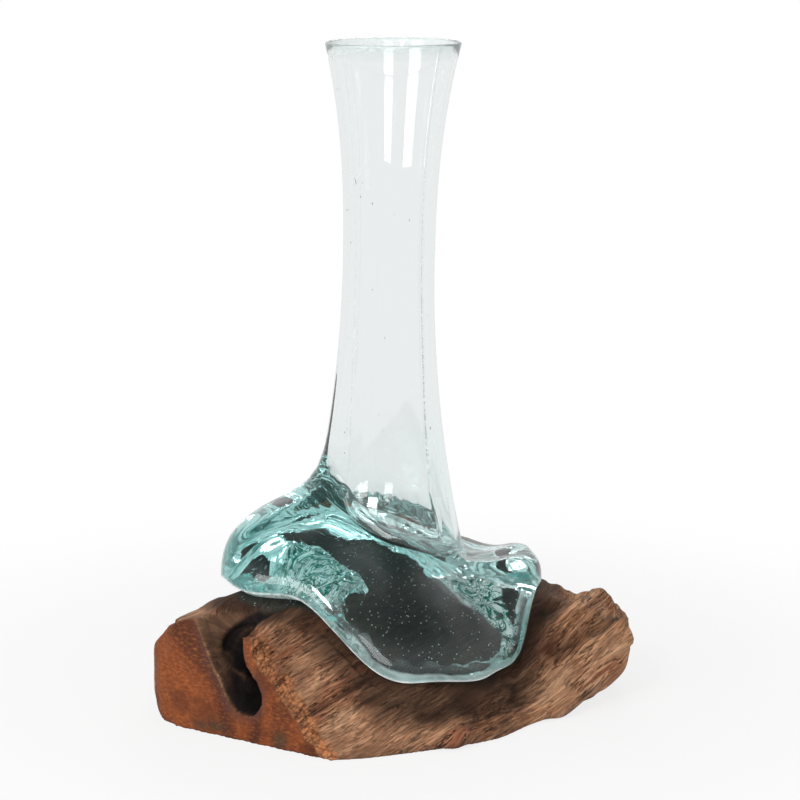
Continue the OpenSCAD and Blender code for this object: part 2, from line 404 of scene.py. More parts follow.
def shapeGlass(thing, points, kind):
    m = melt
    front = fade(cosd(azimuthOf(points) - m.frontAz), m.frontFrom, m.frontTo)
    slimNeck(points, kind, front)
    writePoints(thing.data, points)
    normals = readPoints(thing.data, "normal")
    az, r = azimuthOf(points), farOf(points)
    share = r / glassReach(az)
    points = points + normals * footSwell(points, kind, front, az, r, share)[:, None]

    silver = (kind == 0) * ease((1 - share) * 9) * fade(share, 0.95, 0.89) * (1 - contactMask(points, share))
    flowAz = az + 10 * lumps(points, 26, 27)
    crumple = crumpleShare(points)
    rise = undersideRise(points, flowAz, r, crumple)
    room = m.roomShare * footThickness(points, kind, r)
    points[:, 2] += silver * room * np.tanh(rise / np.maximum(room, 0.1))
    height = points[:, 2]
    # a dark teal film painted along the drawn lines on the neck: painted shade
    drawnShade = drawnLines(az, 2, m.drawnShadeWidth) * (kind == 3) * fade(height, 92, 104)
    drawnShade *= mix(0.35, 1, fade(height, 230, 140))
    points = points - normals * (drawnLines(az, 1, m.lineWidth) * (kind == 3))[:, None]
    writePoints(thing.data, points)

    leftSide = fade(az, 272, 258)
    # the pale rim band: painted reflection
    rim = (kind < 2) * rimSheen(points, az, share, leftSide)
    streaks = lumps(np.stack([flowAz * 0.6, r * 0.16, points[:, 2] * 0.1], -1), 5, 30, 3)
    # pale film along the streaks under the glass and on the lip: painted reflection
    film = silver * mix(m.streakSheen * ease(streaks * 2.2 - 0.1), m.crumpleFilm, crumple)
    film = np.maximum(np.maximum(rim, film), m.lipSheen * (kind == 4)) + drawnShade
    onNeck = m.neckTint * fade(height, 140, 105)
    tint = np.where(kind == 2, fade(r, 27, 39), np.where(kind == 3, onNeck, 1))
    tint = np.where(kind > 4, (kind > 5) * m.floorTint, tint)
    store(thing.data, "crackle", silver * crumple)
    store(thing.data, "film", film)
    store(thing.data, "crumple", np.where(kind == 3, 1, mix(crumple, 0.5 * leftSide, rim)))
    store(thing.data, "tint", tint)


def footThickness(points, kind, r):  # glass above each point of the underside
    around = glass.around
    rings = points[1:-1].reshape(-1, around, 3)
    far = r[1:-1].reshape(-1, around)
    ringKind = kind[1:-1].reshape(-1, around)[:, 0]
    outer, under = (ringKind > 0) & (ringKind < 3), ringKind == 0
    thick = np.full(far.shape, 20.0)
    for k in range(around):
        above = np.interp(far[under, k], far[outer, k][::-1], rings[outer, k, 2][::-1])
        thick[under, k] = above - rings[under, k, 2]
    return np.concatenate([[20.0], np.maximum(thick, 0.2).ravel(), [20.0]])


def insideBy(points, outline):  # mm inside an outline seen from above, negative outside
    x, y = points[:, 0], points[:, 1]
    near = np.full(len(points), 99.0)
    inside = np.zeros(len(points), bool)
    for (ax, ay), (bx, by) in zip(outline, outline[1:] + outline[:1]):
        dx, dy = bx - ax, by - ay
        t = np.clip(((x - ax) * dx + (y - ay) * dy) / (dx * dx + dy * dy), 0, 1)
        near = np.minimum(near, np.hypot(x - ax - t * dx, y - ay - t * dy))
        inside ^= ((ay > y) != (by > y)) & (x < ax + dx * (y - ay) / (dy if dy else 1))
    return np.where(inside, near, -near)


def contactMask(points, share):  # 1 where the glass wets the charred wood
    flat = points * [1, 1, 0]
    depth = np.full(len(points), -99.0)
    for outline in contactOutlines:
        depth = np.maximum(depth, insideBy(flat, outline))
    for x, y, long, wide, turn in contactPatches:
        dx, dy = flat[:, 0] - x, flat[:, 1] - y
        u = (dx * cosd(turn) + dy * sind(turn)) / long
        v = (-dx * sind(turn) + dy * cosd(turn)) / wide
        depth = np.maximum(depth, (1 - np.hypot(u, v)) * wide)
    wander = 1.9 * lumps(flat, 8, 31, 2) + 1.2 * lumps(flat, 3, 32, 2)
    limit = glass.rollFrom + 0.004 + 0.012 * lumps(flat, 6, 33)
    return ease((depth + wander + 0.4) / 0.8) * ease((limit - share) / 0.012)


# Where the hot glass ran onto the wood, seen from above, and where it crumpled beside that
contactOutlines = [
    [(-48, -9), (-36, -13), (-27, -9), (-14, 3), (1, -8), (11, -25), (22, -41), (34, -46), (50, -43),
     (47, -54), (32, -74), (10, -84), (-8, -80), (-19, -73), (-21, -62), (-12, -58), (-14, -50),
     (-27, -36), (-34, -27), (-46, -20)],
]
contactPatches = [  # x, y, half length, half width, turn
    (-39, 16, 8, 5, 60),
    (-26, 12, 7, 3, 20),
    (-53, -30, 9, 4, 110),
    (-60, -12, 7, 2.5, 65),
    (57, -31, 9, 5, 100),
    (57, 2, 9, 3.5, 95),
    (-2, 14, 12, 6, 20),
    (16, -4, 9, 3, 120),
]
crumpleOutlines = [
    [(-44, -24), (-34, -26), (-14, -49), (-19, -64), (-28, -70), (-44, -54)],
    [(28, -30), (44, -20), (62, -38), (56, -52), (44, -46), (34, -40)],
]


# Materials

class Wire:  # a socket that takes part in sums
    def __init__(self, book, socket):
        self.book, self.socket = book, socket

    def sum(self, operation, *parts):
        return self.book.node("ShaderNodeMath", {"operation": operation}, dict(enumerate(parts)))

    def __add__(self, other):
        return self.sum("ADD", self, other)

    def __radd__(self, other):
        return self.sum("ADD", other, self)

    def __sub__(self, other):
        return self.sum("SUBTRACT", self, other)

    def __rsub__(self, other):
        return self.sum("SUBTRACT", other, self)

    def __mul__(self, other):
        return self.sum("MULTIPLY", self, other)

    def __rmul__(self, other):
        return self.sum("MULTIPLY", other, self)

    def __abs__(self):
        return self.sum("ABSOLUTE", self)

    def ramp(self, low, high):  # 0 below low, 1 above high, smooth between
        return self.book.node("ShaderNodeMapRange", {"interpolation_type": "SMOOTHSTEP"},
                              {"Value": self, "From Min": low, "From Max": high})


class NodeBook:  # the nodes of one tree
    def __init__(self, tree):
        self.tree = tree

    def node(self, kind, settings=None, sockets=None, output=0):
        node = self.tree.nodes.new(kind)
        for name, value in (settings or {}).items():
            setattr(node, name, value)
        for name, value in (sockets or {}).items():
            if isinstance(value, Wire):
                self.tree.links.new(value.socket, node.inputs[name])
            else:
                node.inputs[name].default_value = value
        return Wire(self, node.outputs[output])

    def noise(self, vector, detail=4, roughness=0.55, distortion=0.0):
        return self.node("ShaderNodeTexNoise", None, {
            "Vector": vector, "Scale": 1.0, "Detail": detail, "Roughness": roughness,
            "Distortion": distortion})

    def voronoi(self, vector, output):
        return self.node("ShaderNodeTexVoronoi", None, {"Vector": vector, "Scale": 1.0}, output)

    def blend(self, factor, a, b):
        return self.node("ShaderNodeMix", {"data_type": "RGBA", "clamp_factor": True},
                         {0: factor, 6: colour4(a), 7: colour4(b)}, 2)

    def attribute(self, name, output=2):
        return self.node("ShaderNodeAttribute", {"attribute_name": name}, None, output)

    def cells(self, vector, sizes):
        return self.node("ShaderNodeVectorMath", {"operation": "DIVIDE"}, {0: vector, 1: sizes})

    def place(self, cell=(1000, 1000, 1000), turn=0):  # in cells of so many mm, turned about Z
        coords = self.node("ShaderNodeTexCoord", None, None, 3)
        return self.node("ShaderNodeMapping", {"vector_type": "TEXTURE"}, {
            "Vector": coords, "Rotation": (0, 0, math.radians(turn)), "Scale": [c * mm for c in cell]})


def colour4(value):
    if isinstance(value, Wire):
        return value
    return (*value, 1) if len(value) == 3 else value


def linear(red, green, blue):  # from the numbers of a colour picker
    shares = [c / 255 for c in (red, green, blue)]
    return tuple(c / 12.92 if c <= 0.04 else ((c + 0.055) / 1.055) ** 2.4 for c in shares)


def newMaterial(name):
    material = bpy.data.materials.new(name)
    material.use_nodes = True
    material.node_tree.nodes.clear()
    return material, NodeBook(material.node_tree)


def finishMaterial(book, surface, volume=None):
    sockets = {"Surface": surface}
    if volume:
        sockets["Volume"] = volume
    out = book.tree.nodes.new("ShaderNodeOutputMaterial")
    for name, wire in sockets.items():
        book.tree.links.new(wire.socket, out.inputs[name])


glassFinish = SimpleNamespace(
    ior=1.5, absorb=(0.08, 0.74, 0.71), density=10, tint=(0.90, 0.99, 0.985),
    crackleCell=7, crackleDepth=0.003, mistCell=7, mistTurn=25,
    # filmSheen is a painted reflection, filmDeep the teal of the crumpled parts
    filmShare=0.9, crumpleShare=0.3, filmSheen=(0.95, 1.0, 0.99), filmDeep=(0.004, 0.23, 0.18),
)


def makeGlassMaterial():
    f = glassFinish
    material, book = newMaterial("recycledGlass")
    swirl = book.noise(book.place([f.crackleCell] * 3), 2)
    bump = book.node("ShaderNodeBump", None, {
        "Strength": 1.0, "Distance": f.crackleDepth, "Height": swirl * book.attribute("crackle")})
    colour = book.blend(book.attribute("tint"), (1, 1, 1), f.tint)
    clear = book.node("ShaderNodeBsdfPrincipled", None, {
        "Base Color": colour, "Roughness": 0.0, "IOR": f.ior, "Transmission Weight": 1.0, "Normal": bump})

    mist = book.noise(book.place([f.mistCell] * 3, f.mistTurn), 2, 0.5, 2.2)
    crumple = book.attribute("crumple")
    # thin pale lines and the pale film are painted glints and reflection, deep teal between them in the
    # crumpled parts
    glintFolds = abs(mist - 0.52).ramp(0.05, 0.01)
    glintFolds = glintFolds.sum("MAXIMUM", glintFolds, mist.ramp(0.57, 0.63))
    filmColour = book.blend(crumple * (1 - glintFolds), f.filmSheen, f.filmDeep)
    film = book.node("ShaderNodeBsdfPrincipled", None, {
        "Base Color": filmColour, "Roughness": 0.7, "Specular IOR Level": 0.2, "Normal": bump})
    clearer = crumple * mist.ramp(0.42, 0.38) * 0.9
    share = book.attribute("film") * (f.filmShare + crumple * f.crumpleShare) * (1 - clearer)
    surface = book.node("ShaderNodeMixShader", None, {0: share, 1: clear, 2: film})
    volume = book.node("ShaderNodeVolumeAbsorption", None, {
        "Color": (*f.absorb, 1), "Density": f.density})
    finishMaterial(book, surface, volume)
    return material


woodColours = {name: linear(*shade) for name, shade in {
    "sawn": (138, 72, 36), "sawnDark": (84, 42, 24), "sawnPale": (184, 112, 62), "sawnGrey": (84, 58, 52),
    "bark": (192, 139, 104), "barkDark": (50, 31, 19), "barkPale": (220, 174, 136), "barkRed": (152, 84, 54),
    "grey": (128, 106, 88), "crumb": (206, 136, 88), "crumbDark": (86, 36, 14), "weather": (112, 82, 62),
    # hollow is near black: the painted shade deep in the hollow and its clefts
    "hollow": (20, 11, 8), "char": (42, 47, 44), "charBrown": (76, 70, 62), "ash": (205, 222, 216),
    "amber": (186, 122, 74), "stain": (70, 60, 44),
}.items()}


def barkColour(book, n, mask):
    w = woodColours
    seam = abs(n.streaks - 0.5).ramp(0.018, 0.003) * n.blotches.ramp(0.44, 0.54)
    thread = abs(n.fibres - 0.5).ramp(0.03, 0.006) * n.tone.ramp(0.4, 0.55)
    colour = book.blend(n.streaks.ramp(0.34, 0.48) * 0.8 + 0.2, w["barkDark"], w["bark"])
    for factor, name in (
            (n.tone.ramp(0.56, 0.4) * 0.5, "barkDark"),
            (n.tone.ramp(0.52, 0.68) * 0.5, "barkPale"),
            (n.blotches.ramp(0.46, 0.62) * 0.65, "barkRed"),
            (mask.knob * n.tone.ramp(0.47, 0.6) * 0.75, "amber"),
            (n.fibres.ramp(0.52, 0.68) * 0.5, "barkPale"),
            (n.fibres.ramp(0.47, 0.3) * 0.65, "barkDark"),
            (mask.knob * n.fibres.ramp(0.46, 0.6) * 0.5, "barkPale"),
            (n.hairs.ramp(0.5, 0.66) * 0.3, "barkPale"),
            # crest: a painted highlight along the ridge tops
            (mask.crest * n.streaks.ramp(0.36, 0.56) * 0.55, "barkPale"),
            (n.hairs.ramp(0.47, 0.32) * 0.45, "barkDark"),
            (seam * 0.9, "barkDark"),
            (thread * 0.4, "barkDark"),
            (n.specks.ramp(0.6, 0.74) * 0.25, "grey"),
            # groove: painted shade in cracks, low relief and valleys
            (mask.groove * 0.85, "barkDark"),
            (mask.shade * (1.15 - n.streaks * 0.6), "barkDark")):
        colour = book.blend(factor, colour, w[name])
    return colour, seam, thread


def sawnColour(book, n, mask):
    w = woodColours
    endGrain = book.noise(book.place((9, 2.6, 1.1), rootForm.sawAz), 5, 0.6)
    colour = book.blend(n.blotches.ramp(0.35, 0.65), w["sawnDark"], w["sawn"])
    for factor, name in (
            (endGrain.ramp(0.45, 0.75) * 0.55, "sawnPale"),
            (endGrain.ramp(0.5, 0.3) * 0.5, "sawnDark"),
            (n.specks.ramp(0.58, 0.74) * 0.45, "sawnDark"),
            (n.tone.ramp(0.5, 0.36) * 0.55, "sawnDark"),
            (mask.rimShade * 0.65, "sawnGrey"),
            (mask.stain * n.specks.ramp(0.3, 0.55), "stain")):
        colour = book.blend(factor, colour, w[name])
    return colour


def crumbColour(book, n, gaps):  # the torn band between the bark and the sawn face
    w = woodColours
    colour = book.blend(n.torn.ramp(0.36, 0.6), w["crumbDark"], w["crumb"])
    # darker in the gaps between the crumbs: painted shade
    colour = book.blend(gaps.ramp(0.44, 0.7) * 0.5, colour, w["barkDark"])
    return book.blend(n.specks.ramp(0.5, 0.7) * 0.4, colour, w["barkPale"])


def charColour(book, n):  # the seat of the glass, burnt, with specks of ash
    w = woodColours
    dots = book.place((1.8, 1.8, 1.8))
    picked = book.voronoi(dots, 1) * 1.0  # the colour of each cell as one number
    colour = book.blend(n.blotches.ramp(0.4, 0.65) * 0.8, w["char"], w["charBrown"])
    ash = book.voronoi(dots, 0).ramp(0.25, 0.1) * picked.ramp(0.48, 0.6) * 0.95
    return book.blend(ash, colour, w["ash"])


def hollowColour(book, n, mask):
    w = woodColours
    # darker deeper in and lower down, near black in the pocket and clefts: painted shade
    colour = book.blend(mask.deep, w["weather"], w["hollow"])
    return book.blend(n.fibres.ramp(0.5, 0.36) * 0.6, colour, w["hollow"])


def makeWoodMaterial():
    material, book = newMaterial("teakRootWood")
    grain = book.attribute("grain", 1)
    n = SimpleNamespace(  # noises, all but tone and specks drawn out along the grain
        fibres=book.noise(book.cells(grain, (17, 1.3, 1.3)), 5, 0.68, 0.5),
        streaks=book.noise(book.cells(grain, (26, 4.5, 4)), 5, 0.64, 0.4),
        hairs=book.noise(book.cells(grain, (9, 0.55, 0.55)), 3, 0.7, 0.4),
        blotches=book.noise(book.cells(grain, (40, 18, 6)), 3, 0.5),
        tone=book.noise(book.place((24, 24, 20)), 4, 0.6),
        specks=book.noise(book.place((1.1, 1.1, 1.1)), 3, 0.7),
        torn=book.noise(book.cells(grain, (7, 2.2, 2.2)), 5, 0.74, 0.6),
    )
    mask = SimpleNamespace(**{name: book.attribute(name) for name in (
        "sawn", "crumb", "hollow", "seat", "groove", "crest", "knob", "rimShade", "stain", "deep", "shade")})
    gaps = book.voronoi(book.place((2.2, 2.7, 1.8), 20), 0)

    colour, seam, thread = barkColour(book, n, mask)
    colour = book.blend(mask.sawn, colour, sawnColour(book, n, mask))
    colour = book.blend(mask.crumb, colour, crumbColour(book, n, gaps))
    colour = book.blend(mask.hollow, colour, hollowColour(book, n, mask))
    colour = book.blend(mask.seat, colour, charColour(book, n))
    relief = n.streaks * 0.5 - seam * 0.5 - thread * 0.25
    height = n.fibres * 0.5 + n.hairs * 0.3 + relief * (1 - mask.sawn)
    height = height + n.specks * 0.15 * (1 - mask.sawn * 0.5) - gaps * mask.crumb * 0.7
    bump = book.node("ShaderNodeBump", None, {"Strength": 0.9, "Distance": 0.0016, "Height": height})
    surface = book.node("ShaderNodeBsdfPrincipled", None, {
        "Base Color": colour, "Roughness": 0.88 - n.fibres * 0.2, "Normal": bump,
        "Specular IOR Level": 0.25})
    finishMaterial(book, surface)
    return material


# The wood

root = SimpleNamespace(
    voxel=1.05, rounds=34, ease=0.6, planeSlack=0.45, tableSlack=0.4, wet=0.3, apart=0.3,
    groove=2.6, fine=0.6, crack=1.6, ledge=6.5, split=2.6, ledgeDrop=1.6,
    climb=0.03, climbMore=0.0034, crumbDepth=1.1, hollowRough=0.9,
    bandLine=((3.7, 40.0), (37.5, 2.3)), bandHalf=4.0, bandWander=2.2,
    hollowDepth=48,
    dents=[  # x, y, z, size and depth; a negative depth makes a bump
        (88, -12, 50, 8, 4), (108, -20, 36, 6, 3), (100, -37, 33, 7, 3), (78, -43, 27, 9, 3.5),
        (57, -56, 14, 10, 3), (97, -8, 46, 7, -3), (106, -38, 24, 9, -2.5), (68, -40, 38, 8, -2),
        (30, -95, 6, 9, -8.5), (20, -88, 15, 8, 2.6), (-65, -77, 13, 7, -3), (48, -66, 22, 9, -2),
        (106, -24, 44, 5, 4), (77, -42, 30, 7, 2.2), (-102, -58, 34, 6, 2.2), (-103, -62, 24, 6, -1.5),
        (-92, -40, 47, 8, 2.5),
    ],
    sweeps=[  # places along them, width and depth; a negative depth makes a ridge; valleys are painted with shade and ridges with light
        ([(98, -12, 46), (84, -30, 44), (73, -39, 35), (61, -49, 22), (50, -68, 13)], 4.5, -2.6),
        ([(76, -28, 48), (66, -36, 38), (56, -46, 27), (45, -63, 21), (34, -78, 19)], 6, 3.6),
        ([(111, -33, 31), (98, -44, 28), (84, -46, 20), (70, -56, 10)], 5, -2.4),
        ([(104, -28, 40), (92, -39, 35), (79, -42, 28)], 4, 3.0),
        ([(28, -84, 22), (8, -93, 20), (-10, -95, 22)], 2, 1.4),
        ([(60, -62, 9), (46, -79, 7)], 4, 1.8),
        ([(16, -92, 14), (28, -87, 15), (40, -80, 14)], 3, 2.4),
        ([(-20, -86, 38), (2, -92, 27), (24, -86, 18)], 4, -0.8),
        ([(-30, -76, 46), (-12, -90, 33)], 4, -0.9),
    ],
    crevices=[  # clefts, painted dark as shade: places along them, width and depth
        ([(-50, -63, 56), (-56, -66, 53), (-61, -67, 49), (-66, -67, 44), (-69, -67, 38)], 5, 3.6),
    ],
    stains=[(-21, 4.5, 5, 3), (13, 4, 3.5, 4), (-30, 3, 4, 2)],  # along the sawn face, height, sizes
    hollowPaths=[  # along the sawn face, behind it, height and radius, as shares
        [(-0.36, 0.13, 1.08, 0.28), (-0.33, 0.10, 0.86, 0.20), (-0.29, 0.09, 0.68, 0.17),
         (-0.22, 0.09, 0.53, 0.15), (-0.11, 0.09, 0.37, 0.17)],
        [(-0.11, 0.09, 0.37, 0.17), (0.00, 0.48, 0.43, 0.17), (0.07, 1.00, 0.54, 0.09)],
        [(-0.29, 0.09, 0.68, 0.17), (-0.22, 0.35, 0.62, 0.17), (-0.07, 0.48, 0.48, 0.17)],
    ],
)


def relax(points, edges, rounds, step, holdPlanes):
    n = len(points)
    count = np.bincount(edges.ravel(), minlength=n)[:, None]
    for _ in range(rounds):
        mean = np.stack([np.bincount(edges[:, 0], points[edges[:, 1], k], n)
                         + np.bincount(edges[:, 1], points[edges[:, 0], k], n) for k in range(3)], -1) / count
        points = holdPlanes(points + (mean - points) * step)
    return points


def sawPlane(points):  # along the sawn face to the right, and the depth behind it
    away = np.array([cosd(rootForm.sawAz), sind(rootForm.sawAz)])
    depth = points[:, :2] @ away + rootForm.sawDistance
    along = points[:, 0] * away[1] - points[:, 1] * away[0]
    return along, depth


def hollowGap(points):  # how far a point lies outside the hollow's own surface
    f, crest = root.hollowDepth, rootForm.crest
    along, depth = sawPlane(points)
    place = np.stack([along, depth, points[:, 2]], -1)
    least = np.full(len(points), 99.0)
    for path in root.hollowPaths:
        balls = np.array([(a * crest, b * f, c * crest, d * crest) for a, b, c, d in path])
        for one, two in zip(balls[:-1], balls[1:]):
            line = two[:3] - one[:3]
            t = np.clip((place - one[:3]) @ line / (line @ line), 0, 1)
            gap = np.linalg.norm(place - one[:3] - t[:, None] * line, axis=1) - mix(one[3], two[3], t)
            least = np.minimum(least, gap)
    return least


def pathGap(points, places):  # distance from a bent line
    places = np.array(places, float)
    least = np.full(len(points), 999.0)
    for one, two in zip(places[:-1], places[1:]):
        line = two - one
        t = np.clip((points - one) @ line / (line @ line), 0, 1)
        least = np.minimum(least, np.linalg.norm(points - one - t[:, None] * line, axis=1))
    return least


def rootBlank():  # the solid in small even faces, smoothed, with its sawn faces kept flat
    rough = linked("rootRough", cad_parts["teak_root"].data.copy())
    weld = rough.modifiers.new("weld", "WELD")
    weld.merge_threshold = 0.00001
    voxels = rough.modifiers.new("voxels", "REMESH")
    voxels.mode = "VOXEL"
    voxels.voxel_size = root.voxel * mm
    mesh = evaluated(rough)
    bpy.data.objects.remove(rough)
    mesh.name = "rootBlock"
    points = readPoints(mesh) / mm
    edges = np.zeros(len(mesh.edges) * 2, np.int32)
    mesh.edges.foreach_get("vertices", edges)
    print("root voxels:", len(points), "points")

    away = np.array([cosd(rootForm.sawAz), sind(rootForm.sawAz), 0])
    onSaw = sawPlane(points)[1] < root.planeSlack
    onTable = points[:, 2] < root.tableSlack

    def holdPlanes(p):
        p = p - away * (sawPlane(p)[1] * onSaw)[:, None]
        p[:, 2] = np.where(onTable, 0, p[:, 2])
        return p

    points = relax(points, edges.reshape(-1, 2), root.rounds, root.ease, holdPlanes)
    writePoints(mesh, points)
    return linked("rootBlock", mesh), points


def rootMasks(points, normals):  # where each kind of surface lies, and the distances that say so
    az, r = azimuthOf(points), farOf(points)
    along, depth = sawPlane(points)
    gap = hollowGap(points)
    hollow = fade(gap, 2.4, 0) * fade(depth, 0.2, 1.1)
    (a0, z0), (a1, z1) = root.bandLine
    line = np.array([a1 - a0, z1 - z0])
    line = line / np.hypot(*line)
    off = (along - a0) * line[1] - (points[:, 2] - z0) * line[0]
    inBand = root.bandHalf + root.bandWander * lumps(points, 7, 41, 2) - np.abs(off)
    crumb = fade(inBand, 0, 1.6) * fade(depth, 9, 5) * (1 - hollow) * (along > -2)
    sawnDepth = 1.1 + 11 * fade(along, -43, -49)
    topFacing = fade(normals[:, 2], 0.1, 0.4)
    beyond = ease((r - glassReach(az) + 3) / 5)
    return SimpleNamespace(
        along=along, depth=depth, gap=gap, hollow=hollow, crumb=crumb, beyond=beyond,
        sawn=ease((sawnDepth - depth) / 0.7) * (1 - crumb) * (1 - hollow),
        seat=ease((glassReach(az) - 3 - r + 2 * lumps(points, 8, 42)) / 5) * topFacing,
        table=fade(points[:, 2], 0, 3), covered=(1 - beyond) * topFacing,
        knob=fade(r, 76, 96) * fade(cosd(az + 15), 0.55, 0.8))


def grainPlace(points):  # along the grain, round the block and out of it
    g = rootForm.grainAz
    wave = shifted(points, 2.5, (38, 38, 30), 43)
    ahead = wave[:, 0] * cosd(g) + wave[:, 1] * sind(g)
    across = wave[:, 1] * cosd(g) - wave[:, 0] * sind(g)
    climb = wave[:, 2] - ahead * root.climb - root.climbMore * np.maximum(ahead + 10, 0) ** 2
    around = -0.75 * (across + (climb - 50) * np.clip(-across / 18, -1, 1))
    return np.stack([ahead, around, 0.1 * (climb - across)], -1)


def barkPush(points, grain, m):  # ridges, fine grain, cracks and the ledges of the knob
    ridge = lumps(grain * [0.09, 1, 1], 10, 46, 3)
    fine = lumps(grain * [0.05, 1, 1], 2.4, 47, 2)
    cracks = creases(grain * [0.04, 1, 1], 9, 48, 26) * ease(lumps(points, 26, 49) * 2.4 + 0.4)
    ledge = np.abs(lumps(grain * [0.16, 1, 1], 15, 50, 2))
    splits = np.abs(lumps(grain * [0.12, 1, 1], 6, 58, 3))
    rough = (1 - m.sawn) * (1 - 0.6 * m.hollow) * m.table * (1 - 0.85 * m.covered)
    push = root.groove * ridge + root.fine * fine - root.crack * cracks
    push += m.knob * (root.ledge * ledge + root.split * splits - root.ledgeDrop)
    return push * rough, ridge, cracks


def carvedPush(points, m):  # the dents, sweeps and crevices that root lists, with where shade is painted in valleys and clefts and light on ridges
    push, valleyShade, ridgeLight, cleftShade = np.zeros((4, len(points)))
    for x, y, z, size, deep in root.dents:
        near = ((points - [x, y, z]) ** 2).sum(1) / size ** 2
        push -= deep * np.exp(-near) * m.table
    wander = shifted(points, (2, 2, 0), (16, 16, 16), 55)
    for places, width, deep in root.sweeps:
        near = np.exp(-(pathGap(wander, places) / width) ** 2)
        push -= deep * near * m.table * (1 - m.covered)
        valleyShade += max(deep, 0) / 3 * near
        ridgeLight += max(-deep, 0) / 2.6 * near
    for places, width, deep in root.crevices:
        near = np.exp(-(pathGap(points + lumps(points, 5, 57)[:, None], places) / width) ** 2)
        push -= deep * near
        cleftShade = np.maximum(cleftShade, fade(near, 0.25, 0.65))
    return push, valleyShade, ridgeLight, cleftShade


def facePush(points, m):  # torn crumbs, saw marks with pits, and the rough hollow
    pits = ease(lumps(points, 4.5, 53) * 4 - 2.6)
    push = m.crumb * m.table * root.crumbDepth * (lumps(points, 2.6, 51, 2) * 1.8 - 0.5)
    push += m.sawn * m.table * (0.12 * lumps(points, 3, 52, 2) - 0.5 * pits)
    return push + m.hollow * root.hollowRough * lumps(points, 5, 54, 2)


def seatUnderGlass(points, normals):  # just clear of the glass, and against it where it wets the wood
    az, r = azimuthOf(points), farOf(points)
    reach = glassReach(az)
    top = glassUnder(az, np.minimum(r, reach))
    under = (r < reach + 1.0) & (points[:, 2] > 15)
    apart = glass.gap + root.apart + 0.5 * fade(reach - r, 0, 6)
    points[:, 2] = np.where(under, np.minimum(points[:, 2], top - apart), points[:, 2])
    touch = contactMask(points, r / reach) * under * (normals[:, 2] > 0.2)
    points[:, 2] = mix(points[:, 2], top + root.wet / np.clip(normals[:, 2], 0.3, 1), touch)
    return az, r - reach


def makeRoot():
    thing, points = rootBlank()
    mesh = thing.data
    normals = readPoints(mesh, "normal")
    m = rootMasks(points, normals)
    grain = grainPlace(points)
    bark, ridge, cracks = barkPush(points, grain, m)
    carved, valleyShade, ridgeLight, cleftShade = carvedPush(points, m)
    points = points + normals * (bark + carved + facePush(points, m))[:, None]
    az, past = seatUnderGlass(points, normals)
    low, high = np.array(cadBox[0]) / mm, np.array(cadBox[1]) / mm
    points = np.clip(points, low + [0.05, 0.05, 0], high - [0.05, 0.05, 0])
    writePoints(mesh, points)
    mesh.shade_smooth()

    height = points[:, 2]
    stain = sum(np.exp(-((m.along - a) / wide) ** 2 - ((height - z) / tall) ** 2)
                for a, z, wide, tall in root.stains)
    # darker deeper behind the sawn face, lower down and across the right part of the hollow: painted shade
    inside = np.maximum(ease((m.depth - 6 + (38 - height) * 0.8) / 15), fade(m.along, -15, -7))
    shadeWidth = 12 + 5 * ease(cosd(az + 35) * 2 - 0.8)
    shade = np.maximum(ease(1.1 - past / shadeWidth) * (height > 8), 0.4 * fade(height, 7, 0))
    for name, values in (
            ("sawn", m.sawn), ("crumb", m.crumb),
            ("hollow", np.maximum(m.hollow, cleftShade * (1 - m.seat))), ("seat", m.seat),
            # groove: darker in cracks, low relief and swept valleys, a painted shade
            ("groove", np.clip(cracks + ease(-ridge * 1.5 - 0.2) * 0.4 + 0.8 * valleyShade, 0, 1)),
            # crest: pale along the ridge tops and swept ridges, a painted highlight
            ("crest", np.clip(0.6 * ease(ridge * 1.6 - 0.1) + ridgeLight, 0, 1) * m.beyond),
            ("knob", m.knob), ("rimShade", fade(m.gap, 6, 0) * m.sawn),
            ("grain", grain), ("stain", m.sawn * stain),
            ("deep", np.maximum(inside, cleftShade)), ("shade", shade * (1 - m.sawn))):
        store(mesh, name, values)
    mesh.materials.clear()
    mesh.materials.append(makeWoodMaterial())
    print("root:", len(mesh.polygons), "faces")
    return thing


# Seed bubbles in the glass

seeds = SimpleNamespace(
    footCount=2400, footLow=0.07, footHigh=0.28, footRise=3.2, footRoom=9,
    neckCount=34, neckLow=0.12, neckHigh=0.3, stretch=2.2, seed=7, around=72,
    longPlace=(-13.9, -14.3, 238.7), longHalf=1.3, longRadius=0.3, longLean=0.4,
)


